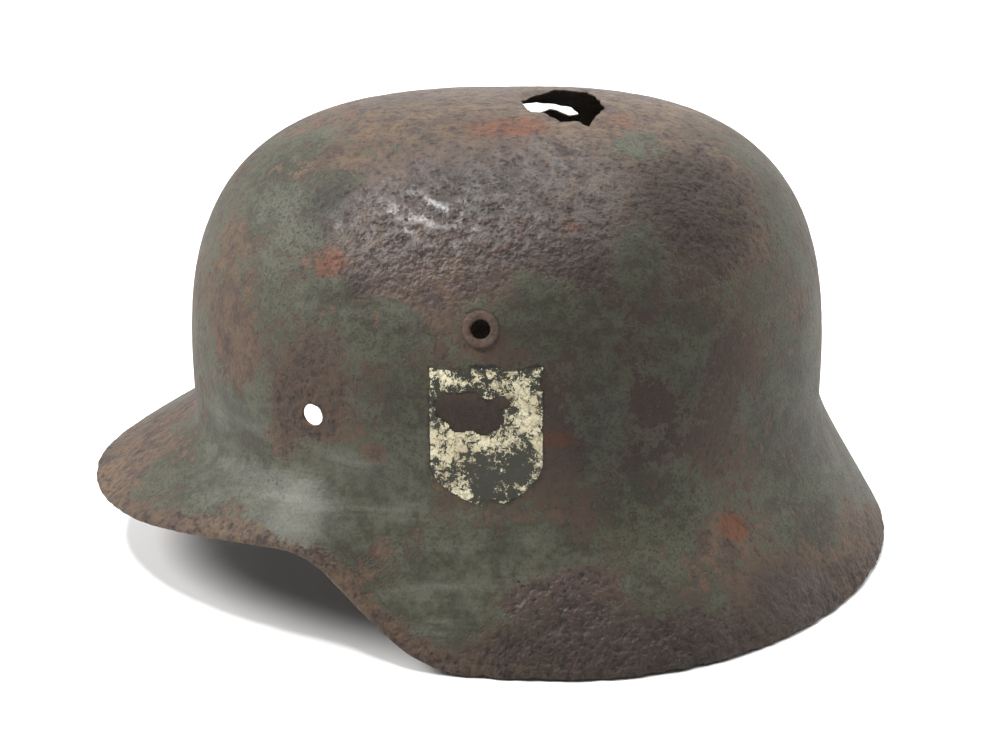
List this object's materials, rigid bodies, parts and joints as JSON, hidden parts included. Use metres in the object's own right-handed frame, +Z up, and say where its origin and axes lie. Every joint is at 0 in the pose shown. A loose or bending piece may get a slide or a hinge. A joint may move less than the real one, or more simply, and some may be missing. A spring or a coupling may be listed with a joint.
{
  "type": "steel helmet",
  "caption": "Relic pressed-steel helmet shell with visor, flared neck skirt, rolled rim, vent bushings, open liner-pin holes, a worn shield transfer, and tears in crown and side.",
  "frame": {"origin": "middle of the bounding box seen from above, on the plane that the lowest rim stands on", "axes": "-X towards the visor, -Y towards the wearer's left, +Z up through the crown"},
  "size_m": [0.2919, 0.244, 0.1605],
  "materials": {
    "painted_steel": "worn grey-green paint over rusted and pitted steel",
    "bushing_steel": "rusted and pitted, traces of paint",
    "transfer_film": "cracked lacquer film, cream flakes over dark paint"
  },
  "bodies": {
    "root": {"shell": "painted_steel", "vent_bushing_left": "bushing_steel", "vent_bushing_right": "bushing_steel", "shield_transfer": "transfer_film"}
  },
  "joints": []
}
